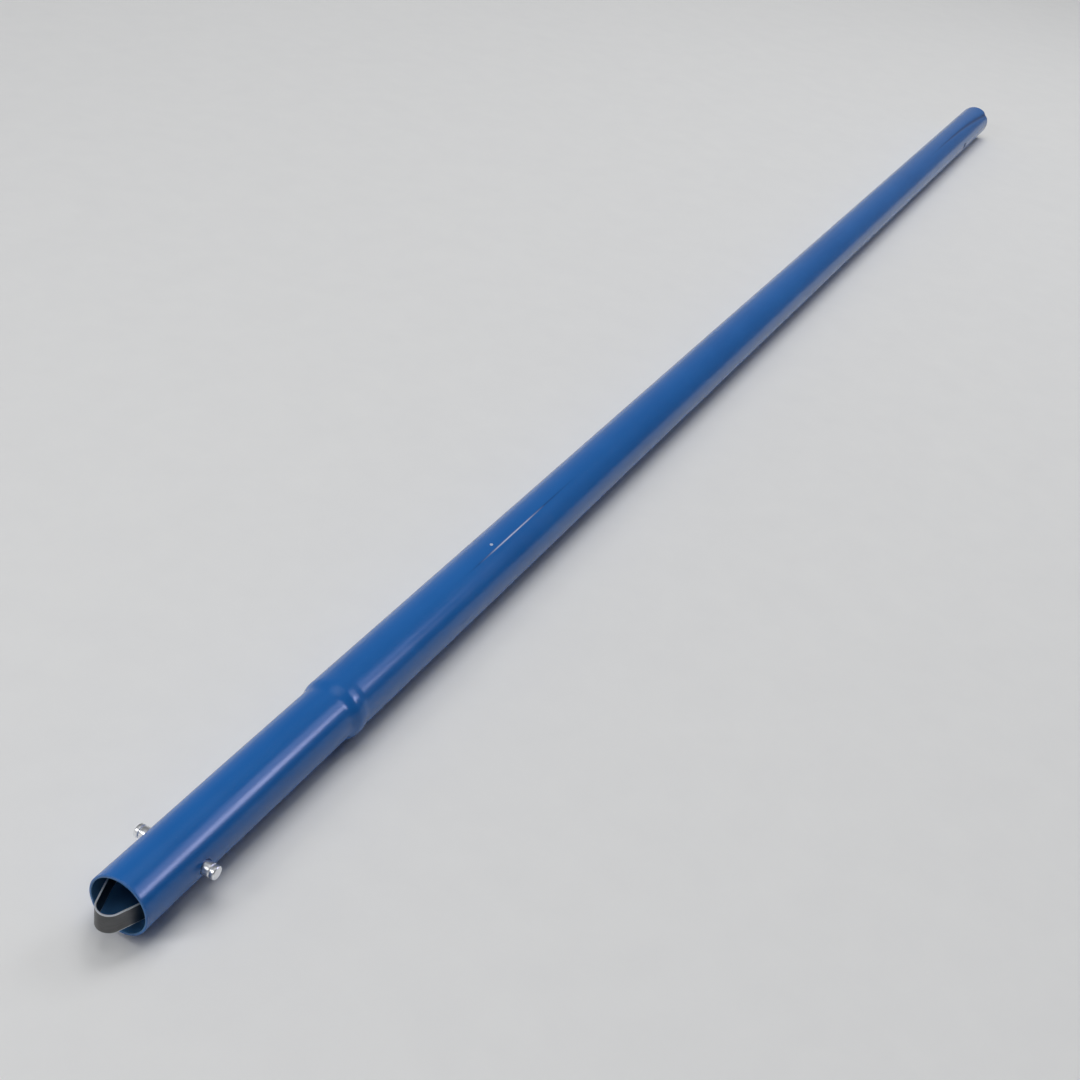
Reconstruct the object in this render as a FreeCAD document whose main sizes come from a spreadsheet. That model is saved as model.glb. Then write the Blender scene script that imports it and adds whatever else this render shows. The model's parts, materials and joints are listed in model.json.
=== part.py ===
"""Snap-button section of a boat-hook pole: a swaged steel tube, a spring strip and two buttons.

The pole lies along X. The origin is on the tube's axis at the foot of the shoulder, where the
socket of the next section stops. The spigot points to -X, the open socket to +X, the two
snap buttons to -Y and +Y, and Z is up.
"""
import FreeCAD, Part
import math
import os
import re
import Sketcher

SHEET = "Dimensions"

# Driving dimensions in millimetres: alias, value, what it is.
DIMENSIONS = [
    ("tube_radius", 16.0, "outer radius of the main tube"),
    ("wall", 1.2, "thickness of the tube's wall"),
    ("shoulder_foot", 0.0, "where the shoulder starts, at the frame's origin"),
    ("main_length", 1333.5, "shoulder foot to the rim of the socket"),
    ("spigot_length", 146.5, "shoulder foot to the mouth of the spigot"),
    ("spigot_radius", 14.7, "outer radius of the spigot beside the shoulder"),
    ("nose_radius", 14.5, "outer radius of the spigot's first stretch, at the buttons"),
    ("nose_length", 45.0, "length of that first stretch"),
    ("nose_taper", 3.0, "length of the cone between the nose and the spigot"),
    ("crest_radius", 16.6, "outer radius of the bead on the shoulder"),
    ("flank_length", 5.0, "shoulder foot to the near edge of the bead's crest"),
    ("crest_length", 2.0, "width of the bead's crest"),
    ("fall_length", 4.0, "far edge of the crest to the plain tube"),
    ("swage_fillet", 2.5, "rounding of the shoulder and its bead outside"),
    ("rim_fillet", 0.5, "rounding of both ends of the tube outside"),
    ("button_setback", 110.0, "shoulder foot to the axis of the buttons"),
    ("button_hole_radius", 3.5, "radius of the holes that the buttons come through"),
    ("button_axis", 0.0, "a button's own axis, in its half section"),
    ("button_radius", 3.2, "radius of a button"),
    ("button_tip", 20.4, "tube axis to the end of a button at rest"),
    ("button_edge", 0.6, "rounding of a button's outer edge"),
    ("waist_radius", 2.85, "radius of the groove round a button"),
    ("waist_near", 17.6, "tube axis to the near side of the groove"),
    ("waist_width", 0.8, "width of the groove"),
    ("neck_radius", 1.6, "radius of a button's neck, where it goes through the strip"),
    ("rivet_radius", 2.7, "radius of the head that holds the button on the strip"),
    ("rivet_height", 1.0, "height of that head"),
    ("rivet_edge", 0.6, "rounding of that head"),
    ("contact_gap", 0.02, "gap on each side of the strip, between button and head"),
    ("strip_thickness", 0.7, "thickness of the spring strip"),
    ("strip_width", 10.0, "width of the spring strip"),
    ("strip_outside", 12.2, "tube axis to the outer face of an arm at the button"),
    ("strip_hole_radius", 1.66, "radius of the holes in the strip"),
    ("apex_reach", 10.2, "how far the strip's bend stands out of the spigot's mouth"),
    ("apex_radius", 5.6, "radius of that bend, along the middle of the strip"),
    ("arm_angle", 20.0, "slope of each arm away from the axis, in degrees"),
    ("knee_radius", 25.0, "radius where an arm turns to lie along the wall"),
    ("arm_end", 8.5, "button axis to the end of an arm"),
    ("arm_corner", 3.0, "rounding of the corners at the end of an arm"),
]


def make_sheet(doc):
    """The spreadsheet that holds every driving dimension under its alias."""
    sheet = doc.addObject("Spreadsheet::Sheet", SHEET)
    for row, (alias, value, meaning) in enumerate(DIMENSIONS, start=1):
        sheet.set(f"A{row}", meaning)
        sheet.set(f"B{row}", str(value))
        sheet.setAlias(f"B{row}", alias)
    doc.recompute()
    return sheet


def cell(text):
    """The expression with each alias in it pointing at the sheet."""
    return re.sub(r"[a-z]+(_[a-z]+)*", lambda word: f"{SHEET}.{word.group()}", text)


def origin_plane(body, role):
    """One of the body's own origin planes, by its role."""
    return next(f for f in body.Origin.OriginFeatures if f.Role == role)


def new_sketch(body, name, role):
    """An empty sketch on one of the body's origin planes."""
    sketch = body.newObject("Sketcher::SketchObject", name)
    sketch.AttachmentSupport = [(origin_plane(body, role), "")]
    sketch.MapMode = "FlatFace"
    return sketch


def bind(sketch, name, expression, kind, *references):
    """Add a dimension to the sketch at its value in the sheet, and drive it from there."""
    formula = cell(expression)
    value = sketch.evalExpression(formula)
    if kind == "Angle":
        value = math.radians(value)
        formula = f"({formula}) * 1 deg"
    index = sketch.addConstraint(Sketcher.Constraint(kind, *references, value))
    sketch.renameConstraint(index, name)
    sketch.setExpression(f"Constraints.{name}", formula)


def draw_outline(sketch, corners):
    """A closed outline of straight lines whose corners are pairs of expressions in the sheet."""
    count = len(corners)
    for index in range(count):
        start = FreeCAD.Vector(index, index * index, 0)
        end = FreeCAD.Vector(index + 1, (index + 1) ** 2, 0)
        sketch.addGeometry(Part.LineSegment(start, end), False)
    for index in range(count):
        following = (index + 1) % count
        sketch.addConstraint(Sketcher.Constraint("Coincident", index, 2, following, 1))
    for index, (across, up) in enumerate(corners):
        bind(sketch, f"across{index}", across, "DistanceX", -1, 1, index, 1)
        bind(sketch, f"up{index}", up, "DistanceY", -1, 1, index, 1)


def draw_circle(sketch, name, across, radius):
    """A circle on the sketch's horizontal axis."""
    centre = FreeCAD.Vector(1, 0, 0)
    circle = sketch.addGeometry(Part.Circle(centre, FreeCAD.Vector(0, 0, 1), 1.0), False)
    sketch.addConstraint(Sketcher.Constraint("PointOnObject", circle, 3, -1))
    bind(sketch, f"{name}_across", across, "DistanceX", -1, 1, circle, 3)
    bind(sketch, f"{name}_radius", radius, "Radius", circle)


def revolve(body, sketch, axis):
    """Turn the sketch once round its own horizontal or vertical axis."""
    solid = body.newObject("PartDesign::Revolution", sketch.Name + "_turned")
    solid.Profile = sketch
    solid.ReferenceAxis = (sketch, [axis])
    solid.Angle = 360.0
    return solid


def pocket_through(doc, body, sketch):
    """Cut the sketch right through the body both ways and make sure that it cut something."""
    before = body.Shape.Volume
    cut = body.newObject("PartDesign::Pocket", sketch.Name + "_cut")
    cut.Profile = sketch
    cut.Type = "ThroughAll"
    cut.Midplane = True
    doc.recompute()
    if body.Shape.Volume >= before:
        raise RuntimeError(f"{sketch.Name} cut nothing from {body.Label}")
    return cut


def circle_edges(shape, places, tolerance=0.01):
    """Names of the full circles round the X axis at the given (x, radius) places."""
    names = []
    for number, edge in enumerate(shape.Edges, start=1):
        if not isinstance(edge.Curve, Part.Circle):
            continue
        spot = (edge.Curve.Center.x, edge.Curve.Radius)
        if any(abs(spot[0] - x) < tolerance and abs(spot[1] - r) < tolerance for x, r in places):
            names.append(f"Edge{number}")
    return names


def fillet(doc, body, name, base, edges, radius):
    """Round the named edges by a radius from the sheet."""
    rounding = body.newObject("PartDesign::Fillet", name)
    rounding.Base = (base, edges)
    rounding.setExpression("Radius", cell(radius))
    doc.recompute()
    return rounding


def make_pole_tube(doc, sheet):
    """The painted tube: spigot, shoulder with its bead, main tube and socket, in one piece."""
    body = doc.addObject("PartDesign::Body", "PoleTube")
    body.Label = "pole_tube"
    wall_section = new_sketch(body, "wall_section", "XZ_Plane")
    draw_outline(wall_section, tube_corners())
    doc.recompute()
    turned = revolve(body, wall_section, "H_Axis")
    doc.recompute()

    crest_start = sheet.flank_length
    crest_end = crest_start + sheet.crest_length
    fall_end = crest_end + sheet.fall_length
    swage = [
        (sheet.shoulder_foot, sheet.spigot_radius),
        (crest_start, sheet.crest_radius),
        (crest_end, sheet.crest_radius),
        (fall_end, sheet.tube_radius),
    ]
    swage_edges = circle_edges(turned.Shape, swage)
    rounded = fillet(doc, body, "swage_rounding", turned, swage_edges, "swage_fillet")
    rims = [(-sheet.spigot_length, sheet.nose_radius), (sheet.main_length, sheet.tube_radius)]
    rim_edges = circle_edges(rounded.Shape, rims)
    fillet(doc, body, "rim_rounding", rounded, rim_edges, "rim_fillet")

    holes = new_sketch(body, "button_holes", "XZ_Plane")
    draw_circle(holes, "spigot_hole", "-button_setback", "button_hole_radius")
    draw_circle(holes, "socket_hole", "main_length - button_setback", "button_hole_radius")
    doc.recompute()
    pocket_through(doc, body, holes)
    return body


def tube_corners():
    """Corners of the wall's section, from the mouth of the spigot along the outside and back inside."""
    crest_start = "flank_length"
    crest_end = "flank_length + crest_length"
    fall_end = "flank_length + crest_length + fall_length"
    nose_end = "nose_length - spigot_length"
    return [
        ("-spigot_length", "nose_radius"),
        (nose_end, "nose_radius"),
        (nose_end + " + nose_taper", "spigot_radius"),
        ("shoulder_foot", "spigot_radius"),
        (crest_start, "crest_radius"),
        (crest_end, "crest_radius"),
        (fall_end, "tube_radius"),
        ("main_length", "tube_radius"),
        ("main_length", "tube_radius - wall"),
        (fall_end, "tube_radius - wall"),
        ("shoulder_foot", "spigot_radius - wall"),
        (nose_end + " + nose_taper", "spigot_radius - wall"),
        (nose_end, "nose_radius - wall"),
        ("-spigot_length", "nose_radius - wall"),
    ]


def make_spring_strip(doc, sheet):
    """The bent spring strip: an open bend outside the mouth and two arms that lie along the wall."""
    body = doc.addObject("PartDesign::Body", "SpringStrip")
    body.Label = "spring_strip"
    path = new_sketch(body, "strip_path", "XY_Plane")
    draw_strip_path(path, sheet)
    section = new_sketch(body, "strip_section", "YZ_Plane")
    section.setExpression("AttachmentOffset.Base.z", cell("arm_end - button_setback"))
    draw_strip_section(section)
    doc.recompute()

    bent = body.newObject("PartDesign::AdditivePipe", "bent_strip")
    bent.Profile = section
    bent.Spine = path
    doc.recompute()
    corners = corner_edges(bent.Shape, sheet.arm_end - sheet.button_setback)
    fillet(doc, body, "arm_corners", bent, corners, "arm_corner")

    holes = new_sketch(body, "strip_holes", "XZ_Plane")
    draw_circle(holes, "neck_hole", "-button_setback", "strip_hole_radius")
    doc.recompute()
    pocket_through(doc, body, holes)
    return body


def draw_strip_path(sketch, sheet):
    """The middle line of the strip: one bend at the mouth, and a slope, a knee and a flat on each side."""
    angle = math.radians(sheet.arm_angle)
    bend = sheet.apex_radius
    knee = sheet.knee_radius
    height = sheet.strip_outside - sheet.strip_thickness / 2
    centre_x = bend - sheet.apex_reach - sheet.spigot_length
    start = (centre_x - bend * math.sin(angle), bend * math.cos(angle))
    rise = height - knee * (1 - math.cos(angle)) - start[1]
    knee_start_x = start[0] + rise / math.tan(angle)
    knee_x = knee_start_x + knee * math.sin(angle)
    end_x = sheet.arm_end - sheet.button_setback

    def point(across, up):
        return FreeCAD.Vector(across, up, 0)

    def arc(centre, radius, first, last):
        circle = Part.Circle(centre, FreeCAD.Vector(0, 0, 1), radius)
        return Part.ArcOfCircle(circle, first, last)

    quarter = math.pi / 2
    bend_centre = point(centre_x, 0)
    sketch.addGeometry(arc(bend_centre, bend, quarter + angle, 3 * quarter - angle), False)
    for side in (1, -1):
        slope_start = point(start[0], side * start[1])
        slope_end = point(knee_start_x, side * (start[1] + rise))
        knee_centre = point(knee_x, side * (height - knee))
        turn = (quarter, quarter + angle) if side > 0 else (-quarter - angle, -quarter)
        flat_start = point(knee_x, side * height)
        flat_end = point(end_x, side * height)
        sketch.addGeometry(Part.LineSegment(slope_start, slope_end), False)
        sketch.addGeometry(arc(knee_centre, knee, turn[0], turn[1]), False)
        sketch.addGeometry(Part.LineSegment(flat_start, flat_end), False)
    constrain_strip_path(sketch)


def constrain_strip_path(sketch):
    """Join the pieces of the strip's path smoothly and drive their sizes from the sheet."""
    bend = 0
    reach = "apex_radius - apex_reach - spigot_length"
    sketch.addConstraint(Sketcher.Constraint("PointOnObject", bend, 3, -1))
    bind(sketch, "bend_across", reach, "DistanceX", -1, 1, bend, 3)
    bind(sketch, "bend_radius", "apex_radius", "Radius", bend)
    height = "strip_outside - strip_thickness / 2"
    arms = [("left", "", 1, 1, 2, 1), ("right", "-", 4, 2, 1, 2)]
    for name, sign, slope, bend_end, knee_first, knee_last in arms:
        knee = slope + 1
        flat = slope + 2
        sketch.addConstraint(Sketcher.Constraint("Tangent", bend, bend_end, slope, 1))
        sketch.addConstraint(Sketcher.Constraint("Tangent", slope, 2, knee, knee_first))
        sketch.addConstraint(Sketcher.Constraint("Tangent", knee, knee_last, flat, 1))
        bind(sketch, f"{name}_knee", "knee_radius", "Radius", knee)
        bind(sketch, f"{name}_slope", f"{sign}arm_angle", "Angle", slope)
        bind(sketch, f"{name}_height", f"{sign}({height})", "DistanceY", -1, 1, flat, 2)
        bind(sketch, f"{name}_end", "arm_end - button_setback", "DistanceX", -1, 1, flat, 2)
        sketch.addConstraint(Sketcher.Constraint("Horizontal", flat))


def draw_strip_section(sketch):
    """The strip's rectangular section at the end of its left arm."""
    outside = "strip_outside"
    inside = "strip_outside - strip_thickness"
    low = "-strip_width / 2"
    high = "strip_width / 2"
    draw_outline(sketch, [(inside, low), (outside, low), (outside, high), (inside, high)])


def corner_edges(shape, end_x, tolerance=0.01):
    """Names of the short edges, parallel to Y, at the four corners of the arms' ends."""
    names = []
    for number, edge in enumerate(shape.Edges, start=1):
        across = [vertex.X for vertex in edge.Vertexes]
        up = [vertex.Z for vertex in edge.Vertexes]
        at_end = all(abs(x - end_x) < tolerance for x in across)
        if at_end and abs(up[0] - up[-1]) < tolerance:
            names.append(f"Edge{number}")
    return names


def make_button(doc, sheet, label, side):
    """A snap button: rivet head, neck through the strip, and a grooved pin with a rounded end.

    The button is turned about its own Z axis, with the tube's axis at Z = 0, and its Placement
    lays that axis along +Y or -Y at the strip's holes.
    """
    body = doc.addObject("PartDesign::Body", label.title().replace("_", ""))
    body.Label = label
    half_section = new_sketch(body, "half_section", "XZ_Plane")
    draw_outline(half_section, button_corners())
    doc.recompute()
    turned = revolve(body, half_section, "V_Axis")
    doc.recompute()

    head_low = sheet.strip_outside - sheet.strip_thickness - sheet.contact_gap - sheet.rivet_height
    tip = button_circles(turned.Shape, sheet.button_tip, sheet.button_radius)
    rounded = fillet(doc, body, "tip_rounding", turned, tip, "button_edge")
    head = button_circles(rounded.Shape, head_low, sheet.rivet_radius)
    fillet(doc, body, "head_rounding", rounded, head, "rivet_edge")

    body.Placement.Rotation = FreeCAD.Rotation(FreeCAD.Vector(0, 0, 1), FreeCAD.Vector(0, side, 0))
    body.setExpression("Placement.Base.x", cell("-button_setback"))
    doc.recompute()
    return body


def button_corners():
    """Corners of half a button's section: distance from its own axis, distance from the tube's."""
    head_high = "strip_outside - strip_thickness - contact_gap"
    head_low = head_high + " - rivet_height"
    pin_low = "strip_outside + contact_gap"
    groove_far = "waist_near + waist_width"
    return [
        ("button_axis", head_low),
        ("rivet_radius", head_low),
        ("rivet_radius", head_high),
        ("neck_radius", head_high),
        ("neck_radius", pin_low),
        ("button_radius", pin_low),
        ("button_radius", "waist_near"),
        ("waist_radius", "waist_near"),
        ("waist_radius", groove_far),
        ("button_radius", groove_far),
        ("button_radius", "button_tip"),
        ("button_axis", "button_tip"),
    ]


def button_circles(shape, height, radius, tolerance=0.01):
    """Names of the circles round the button's own axis at that height and radius."""
    names = []
    for number, edge in enumerate(shape.Edges, start=1):
        if not isinstance(edge.Curve, Part.Circle):
            continue
        level = abs(edge.Curve.Center.z - height) < tolerance
        if level and abs(edge.Curve.Radius - radius) < tolerance:
            names.append(f"Edge{number}")
    return names


def check_document(doc, sub_parts):
    """Stop if any object failed to compute or a sub-part has no valid solid."""
    for item in doc.Objects:
        if "Invalid" in item.State or "Error" in item.State:
            raise RuntimeError(f"{item.Name} did not compute: {item.State}")
    for item in sub_parts:
        shape = item.Shape
        if shape.isNull() or not shape.isValid() or len(shape.Solids) != 1:
            raise RuntimeError(f"{item.Label} is not one valid solid")


def main():
    """Build every sub-part and write it to parts/ under its label."""
    doc = FreeCAD.newDocument("PoleSection")
    sheet = make_sheet(doc)
    sub_parts = [
        make_pole_tube(doc, sheet),
        make_spring_strip(doc, sheet),
        make_button(doc, sheet, "snap_button_right", -1),
        make_button(doc, sheet, "snap_button_left", 1),
    ]
    doc.recompute()
    check_document(doc, sub_parts)
    os.makedirs("parts", exist_ok=True)
    for item in sub_parts:
        item.Shape.exportStep(f"parts/{item.Label}.step")
        print(item.Label, round(item.Shape.Volume, 2), "mm3", item.Shape.BoundBox)


main()
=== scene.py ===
"""Looks of the boat-hook pole section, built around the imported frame.

The pole lies along X on a pale floor, the right snap button points to -Y, and Z is up. Lengths
are in metres; a name that ends in _mm is in millimetres. An angle round the tube is in degrees,
0 at the right button, 90 on top and 180 at the left button.
"""
import json
import math

import bmesh
import bpy
from mathutils import Matrix, Vector


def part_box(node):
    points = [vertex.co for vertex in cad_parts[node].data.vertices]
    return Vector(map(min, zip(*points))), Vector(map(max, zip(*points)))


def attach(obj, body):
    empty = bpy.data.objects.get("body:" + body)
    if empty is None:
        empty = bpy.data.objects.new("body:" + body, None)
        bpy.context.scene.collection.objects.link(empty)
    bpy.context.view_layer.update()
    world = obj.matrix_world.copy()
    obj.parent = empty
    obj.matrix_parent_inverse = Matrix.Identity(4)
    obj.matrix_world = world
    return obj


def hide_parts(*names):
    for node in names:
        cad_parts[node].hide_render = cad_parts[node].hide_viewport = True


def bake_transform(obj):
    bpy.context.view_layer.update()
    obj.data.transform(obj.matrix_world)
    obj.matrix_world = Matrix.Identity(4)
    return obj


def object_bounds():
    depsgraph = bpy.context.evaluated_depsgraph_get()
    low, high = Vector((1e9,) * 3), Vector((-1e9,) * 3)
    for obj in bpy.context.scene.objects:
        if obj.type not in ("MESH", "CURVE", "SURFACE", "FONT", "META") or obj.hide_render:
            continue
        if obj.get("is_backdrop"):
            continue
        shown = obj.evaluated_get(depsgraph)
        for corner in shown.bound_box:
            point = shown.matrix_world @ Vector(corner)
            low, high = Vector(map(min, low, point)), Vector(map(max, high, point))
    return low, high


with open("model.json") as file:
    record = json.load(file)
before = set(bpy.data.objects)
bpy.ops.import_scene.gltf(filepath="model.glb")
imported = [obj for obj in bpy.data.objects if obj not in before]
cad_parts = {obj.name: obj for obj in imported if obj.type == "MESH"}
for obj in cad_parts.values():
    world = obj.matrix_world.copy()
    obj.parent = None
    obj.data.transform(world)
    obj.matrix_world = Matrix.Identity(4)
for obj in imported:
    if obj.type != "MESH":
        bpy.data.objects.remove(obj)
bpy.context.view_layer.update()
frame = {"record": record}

MM = 0.001

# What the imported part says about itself.
MOUNTS = {mount["name"]: mount for mount in frame["record"]["mounts"]}
SPIGOT_RADIUS = MOUNTS["spigot"]["dims"]["r_mm"] * MM
SOCKET_RADIUS = MOUNTS["socket"]["dims"]["r_mm"] * MM
HOLE_RADIUS = MOUNTS["socket_button_holes"]["dims"]["r_mm"] * MM
SOCKET_HOLE_X = MOUNTS["socket_button_holes"]["pos_m"][0]
MOUTH_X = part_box("pole_tube")[0].x
RIM_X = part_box("pole_tube")[1].x
BUTTON_LOW, BUTTON_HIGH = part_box("snap_button_left")
BUTTON_X = (BUTTON_LOW.x + BUTTON_HIGH.x) / 2
STRIP_LOW, STRIP_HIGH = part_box("spring_strip")

# The tube's wall.
WALL = 1.2 * MM
TUBE_RADIUS = SOCKET_RADIUS + WALL
NOSE_RADIUS = 14.5 * MM

# The nose grows to the spigot's radius over a long stretch, so that no step shows.
NOSE_START_X = MOUTH_X + 20.0 * MM
NOSE_END_X = MOUTH_X + 95.0 * MM

# Roundings, and the stretch where the swaged shoulder rises.
RIM_ROUNDING = 0.42 * MM
INNER_RIM_ROUNDING = 0.25 * MM
HOLE_ROUNDING = 0.16 * MM
SHOULDER_START = -3.2 * MM
SHOULDER_END = 4.2 * MM


def smooth(low, high, value):
    """0 below low, 1 above high, and a smooth step between them."""
    t = min(1.0, max(0.0, (value - low) / (high - low)))
    return t * t * (3 - 2 * t)


def bell(distance, width):
    """1 at no distance, falling smoothly to 0 at about twice the width."""
    return math.exp(-((distance / width) ** 2))


# ---------------------------------------------------------------- camera

CAMERA_PLACE = Vector((-473.106, -265.177, 469.381)) * MM
CAMERA_RIGHT = Vector((0.452417, -0.874717, 0.173750))
CAMERA_UP = Vector((0.426338, 0.383261, 0.819358))
CAMERA_BACK = Vector((-0.783298, -0.296615, 0.546319))
LENS_MM = 50.165
SENSOR_MM = 36.0
NEAREST, FARTHEST = 0.01, 50.0


def make_camera():
    """The camera that looks down at the mouth, with the pole running away from it."""
    data = bpy.data.cameras.new("camera")
    data.lens = LENS_MM
    data.sensor_width = SENSOR_MM
    data.clip_start = NEAREST
    data.clip_end = FARTHEST
    camera = bpy.data.objects.new("camera", data)
    bpy.context.scene.collection.objects.link(camera)
    turn = Matrix((CAMERA_RIGHT, CAMERA_UP, CAMERA_BACK)).transposed()
    camera.matrix_world = Matrix.Translation(CAMERA_PLACE) @ turn.to_4x4()
    bpy.context.scene.camera = camera


# ---------------------------------------------------------------- mesh helpers


def add_object(name, mesh, material=None):
    """A new object in the scene that shows a mesh."""
    obj = bpy.data.objects.new(name, mesh)
    bpy.context.scene.collection.objects.link(obj)
    if material is not None:
        mesh.materials.append(material)
    return obj


def opened_clean(mesh):
    """A mesh opened for editing, without loose vertices and with every face turned outwards."""
    work = bmesh.new()
    work.from_mesh(mesh)
    loose = [vertex for vertex in work.verts if not vertex.link_faces]
    bmesh.ops.delete(work, geom=loose, context="VERTS")
    bmesh.ops.recalc_face_normals(work, faces=work.faces)
    return work


def finish_mesh(obj, sharp_degrees=50.0):
    """Clean the mesh, and shade it smooth except at sharp edges."""
    mesh = obj.data
    work = opened_clean(mesh)
    limit = math.radians(sharp_degrees)
    for face in work.faces:
        face.smooth = True
    for edge in work.edges:
        edge.smooth = not (len(edge.link_faces) == 2 and edge.calc_face_angle() > limit)
    work.to_mesh(mesh)
    work.free()
    mesh.update()


def strip_of_quads(first, second, closed):
    """Quads between two rows of the same number of vertex numbers."""
    count = len(first)
    last = count if closed else count - 1
    quads = []
    for k in range(last):
        following = (k + 1) % count
        quads.append((first[k], first[following], second[following], second[k]))
    return quads


def join_rings(rings):
    """Faces of a turned shape: quads between its rings, triangles where a ring is one point."""
    faces = []
    for first, second in zip(rings, rings[1:]):
        if len(first) > 1 and len(second) > 1:
            faces += strip_of_quads(first, second, True)
            continue
        centre, ring = (first[0], second) if len(first) == 1 else (second[0], first)
        faces += [(centre, ring[k], ring[(k + 1) % len(ring)]) for k in range(len(ring))]
    return faces


# ---------------------------------------------------------------- painted tube

# The weld seam shows as a line of painted shade on a short stretch past the shoulder, with rubbed
# paint and a painted highlight in its middle, and again near the socket, where it swings down into
# a crease that ends at the rim.
SEAM_ANGLE = 75.5
CREASE_ANGLE = 70.5
CREASE_LENGTH = 200.0 * MM
CREASE_SWING = 27.5
SEAM_START_X = 118.0 * MM
SEAM_END_X = 262.0 * MM
RUB_GLINT_START_X = 138.0 * MM
RUB_GLINT_END_X = 214.0 * MM

# The seam itself: how far its dent reaches round the tube and how deep it is, how wide its line of
# painted shade is, where it is faint and what the crease adds at the rim.
DENT_WIDTH_MM, CREASE_WIDENS_MM = 0.34, 2.2
DENT_DEPTH_MM, CREASE_DEEPENS_MM = 0.05, 0.8
FLASH_WIDTH_MM, FLASH_WIDENS_MM = 0.7, 0.8
FLASH_HEIGHT_MM, FLASH_GROWS_MM = 0.1, 0.1
LINE_WIDTH_MM, LINE_WIDENS_MM = 0.42, 1.6
CREASE_CURVE = 2.8

# The bead past the shoulder stands out most at one angle, and not at all opposite.
BEAD_HEIGHT = 0.62 * MM
BEAD_FULLEST_ANGLE = -30.0
BEAD_RISE_X = (-1.5 * MM, 5.5 * MM)
BEAD_FALL_X = (6.6 * MM, 11.6 * MM)


def seam_angle(x):
    """Where round the tube the weld seam is, at x."""
    drifted = SEAM_ANGLE + (CREASE_ANGLE - SEAM_ANGLE) * smooth(0.3, RIM_X - CREASE_LENGTH, x)
    nearness = min(1.0, max(0.0, 1 - (RIM_X - x) / CREASE_LENGTH))
    return drifted - CREASE_SWING * nearness**CREASE_CURVE


def crease_strength(x):
    """0 along the tube, growing to 1 at the socket's rim."""
    return smooth(RIM_X - 250.0 * MM, RIM_X + 20.0 * MM, x)


def seam_strength(x):
    """How much of the seam shows at x: 1 on its stretch past the shoulder and by the crease."""
    near = smooth(SEAM_START_X, SEAM_START_X + 30.0 * MM, x)
    near *= 1 - smooth(SEAM_END_X - 60.0 * MM, SEAM_END_X, x)
    return max(near, smooth(RIM_X - 260.0 * MM, RIM_X - 120.0 * MM, x))


def body_radius(x):
    """Radius of the outside without bead, seam or dents."""
    taper = smooth(NOSE_START_X, NOSE_END_X, x)
    nose = NOSE_RADIUS + (SPIGOT_RADIUS - NOSE_RADIUS) * taper
    step = smooth(SHOULDER_START, SHOULDER_END, x)
    return nose + (TUBE_RADIUS - nose) * step


def outer_radius(x, angle):
    """Radius of the painted outside at x and angle."""
    radius = body_radius(x)
    side = 0.5 + 0.5 * math.cos(math.radians(angle - BEAD_FULLEST_ANGLE))
    rise = smooth(*BEAD_RISE_X, x) * (1 - smooth(*BEAD_FALL_X, x))
    radius += BEAD_HEIGHT * side * rise
    crease = crease_strength(x)
    away = math.radians(angle - seam_angle(x)) * radius
    width = (DENT_WIDTH_MM + CREASE_WIDENS_MM * crease) * MM
    depth = (DENT_DEPTH_MM * seam_strength(x) + CREASE_DEEPENS_MM * crease) * MM
    radius -= depth * bell(away, width)
    return radius


def inner_radius(x, angle):
    """Radius of the inside wall at x and angle, with the flash of the weld along the seam."""
    radius = body_radius(x) - WALL
    away = math.radians(angle - seam_angle(x)) * radius
    crease = crease_strength(x)
    width = (FLASH_WIDTH_MM + FLASH_WIDENS_MM * crease) * MM
    return radius - (FLASH_HEIGHT_MM + FLASH_GROWS_MM * crease) * MM * bell(away, width)


def spread(start, end, step):
    """Evenly spaced values from start up to, but without, end, about a step apart."""
    count = max(1, round((end - start) / step))
    return [start + (end - start) * k / count for k in range(count)]


# Each button hole is cut in a square patch of cells. Columns are closest together by the seam, and
# rows by the holes and on the shoulder.
PATCH_CELLS = 20
PATCH_STEP = 1.875
PATCH_ANGLE = PATCH_STEP * PATCH_CELLS / 2
PATCH_HALF = 4.66 * MM
RIGHT, LEFT = 0.0, 180.0
FINE_FROM, SEAM_FROM, SEAM_TO = 36.0, 70.0, 81.0
FINE_STEP, SEAM_STEP = 0.85, 0.5
INSIDE_COARSER = 2.5
MOUTH_MARGIN = 1.0 * MM
SHOULDER_ROWS_FROM, SHOULDER_ROWS_TO = -6.0 * MM, 14.0 * MM
FAR_ROWS_LENGTH = 200.0 * MM
SPIGOT_STEP, SHOULDER_STEP, TUBE_STEP = 5.0 * MM, 0.5 * MM, 11.0 * MM
CREASE_STEP, RIM_STEP = 4.0 * MM, 2.0 * MM


def tube_angles():
    """Angles of the tube's columns: a patch at each button hole, and close together by the seam."""
    angles = spread(RIGHT - PATCH_ANGLE, RIGHT + PATCH_ANGLE, PATCH_STEP)
    angles += spread(RIGHT + PATCH_ANGLE, FINE_FROM, PATCH_STEP)
    angles += spread(FINE_FROM, SEAM_FROM, FINE_STEP)
    angles += spread(SEAM_FROM, SEAM_TO, SEAM_STEP)
    angles += spread(SEAM_TO, LEFT - PATCH_ANGLE, PATCH_STEP)
    angles += spread(LEFT - PATCH_ANGLE, LEFT + PATCH_ANGLE, PATCH_STEP)
    angles += spread(LEFT + PATCH_ANGLE, 360.0 - PATCH_ANGLE, PATCH_STEP)
    return angles


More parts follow.
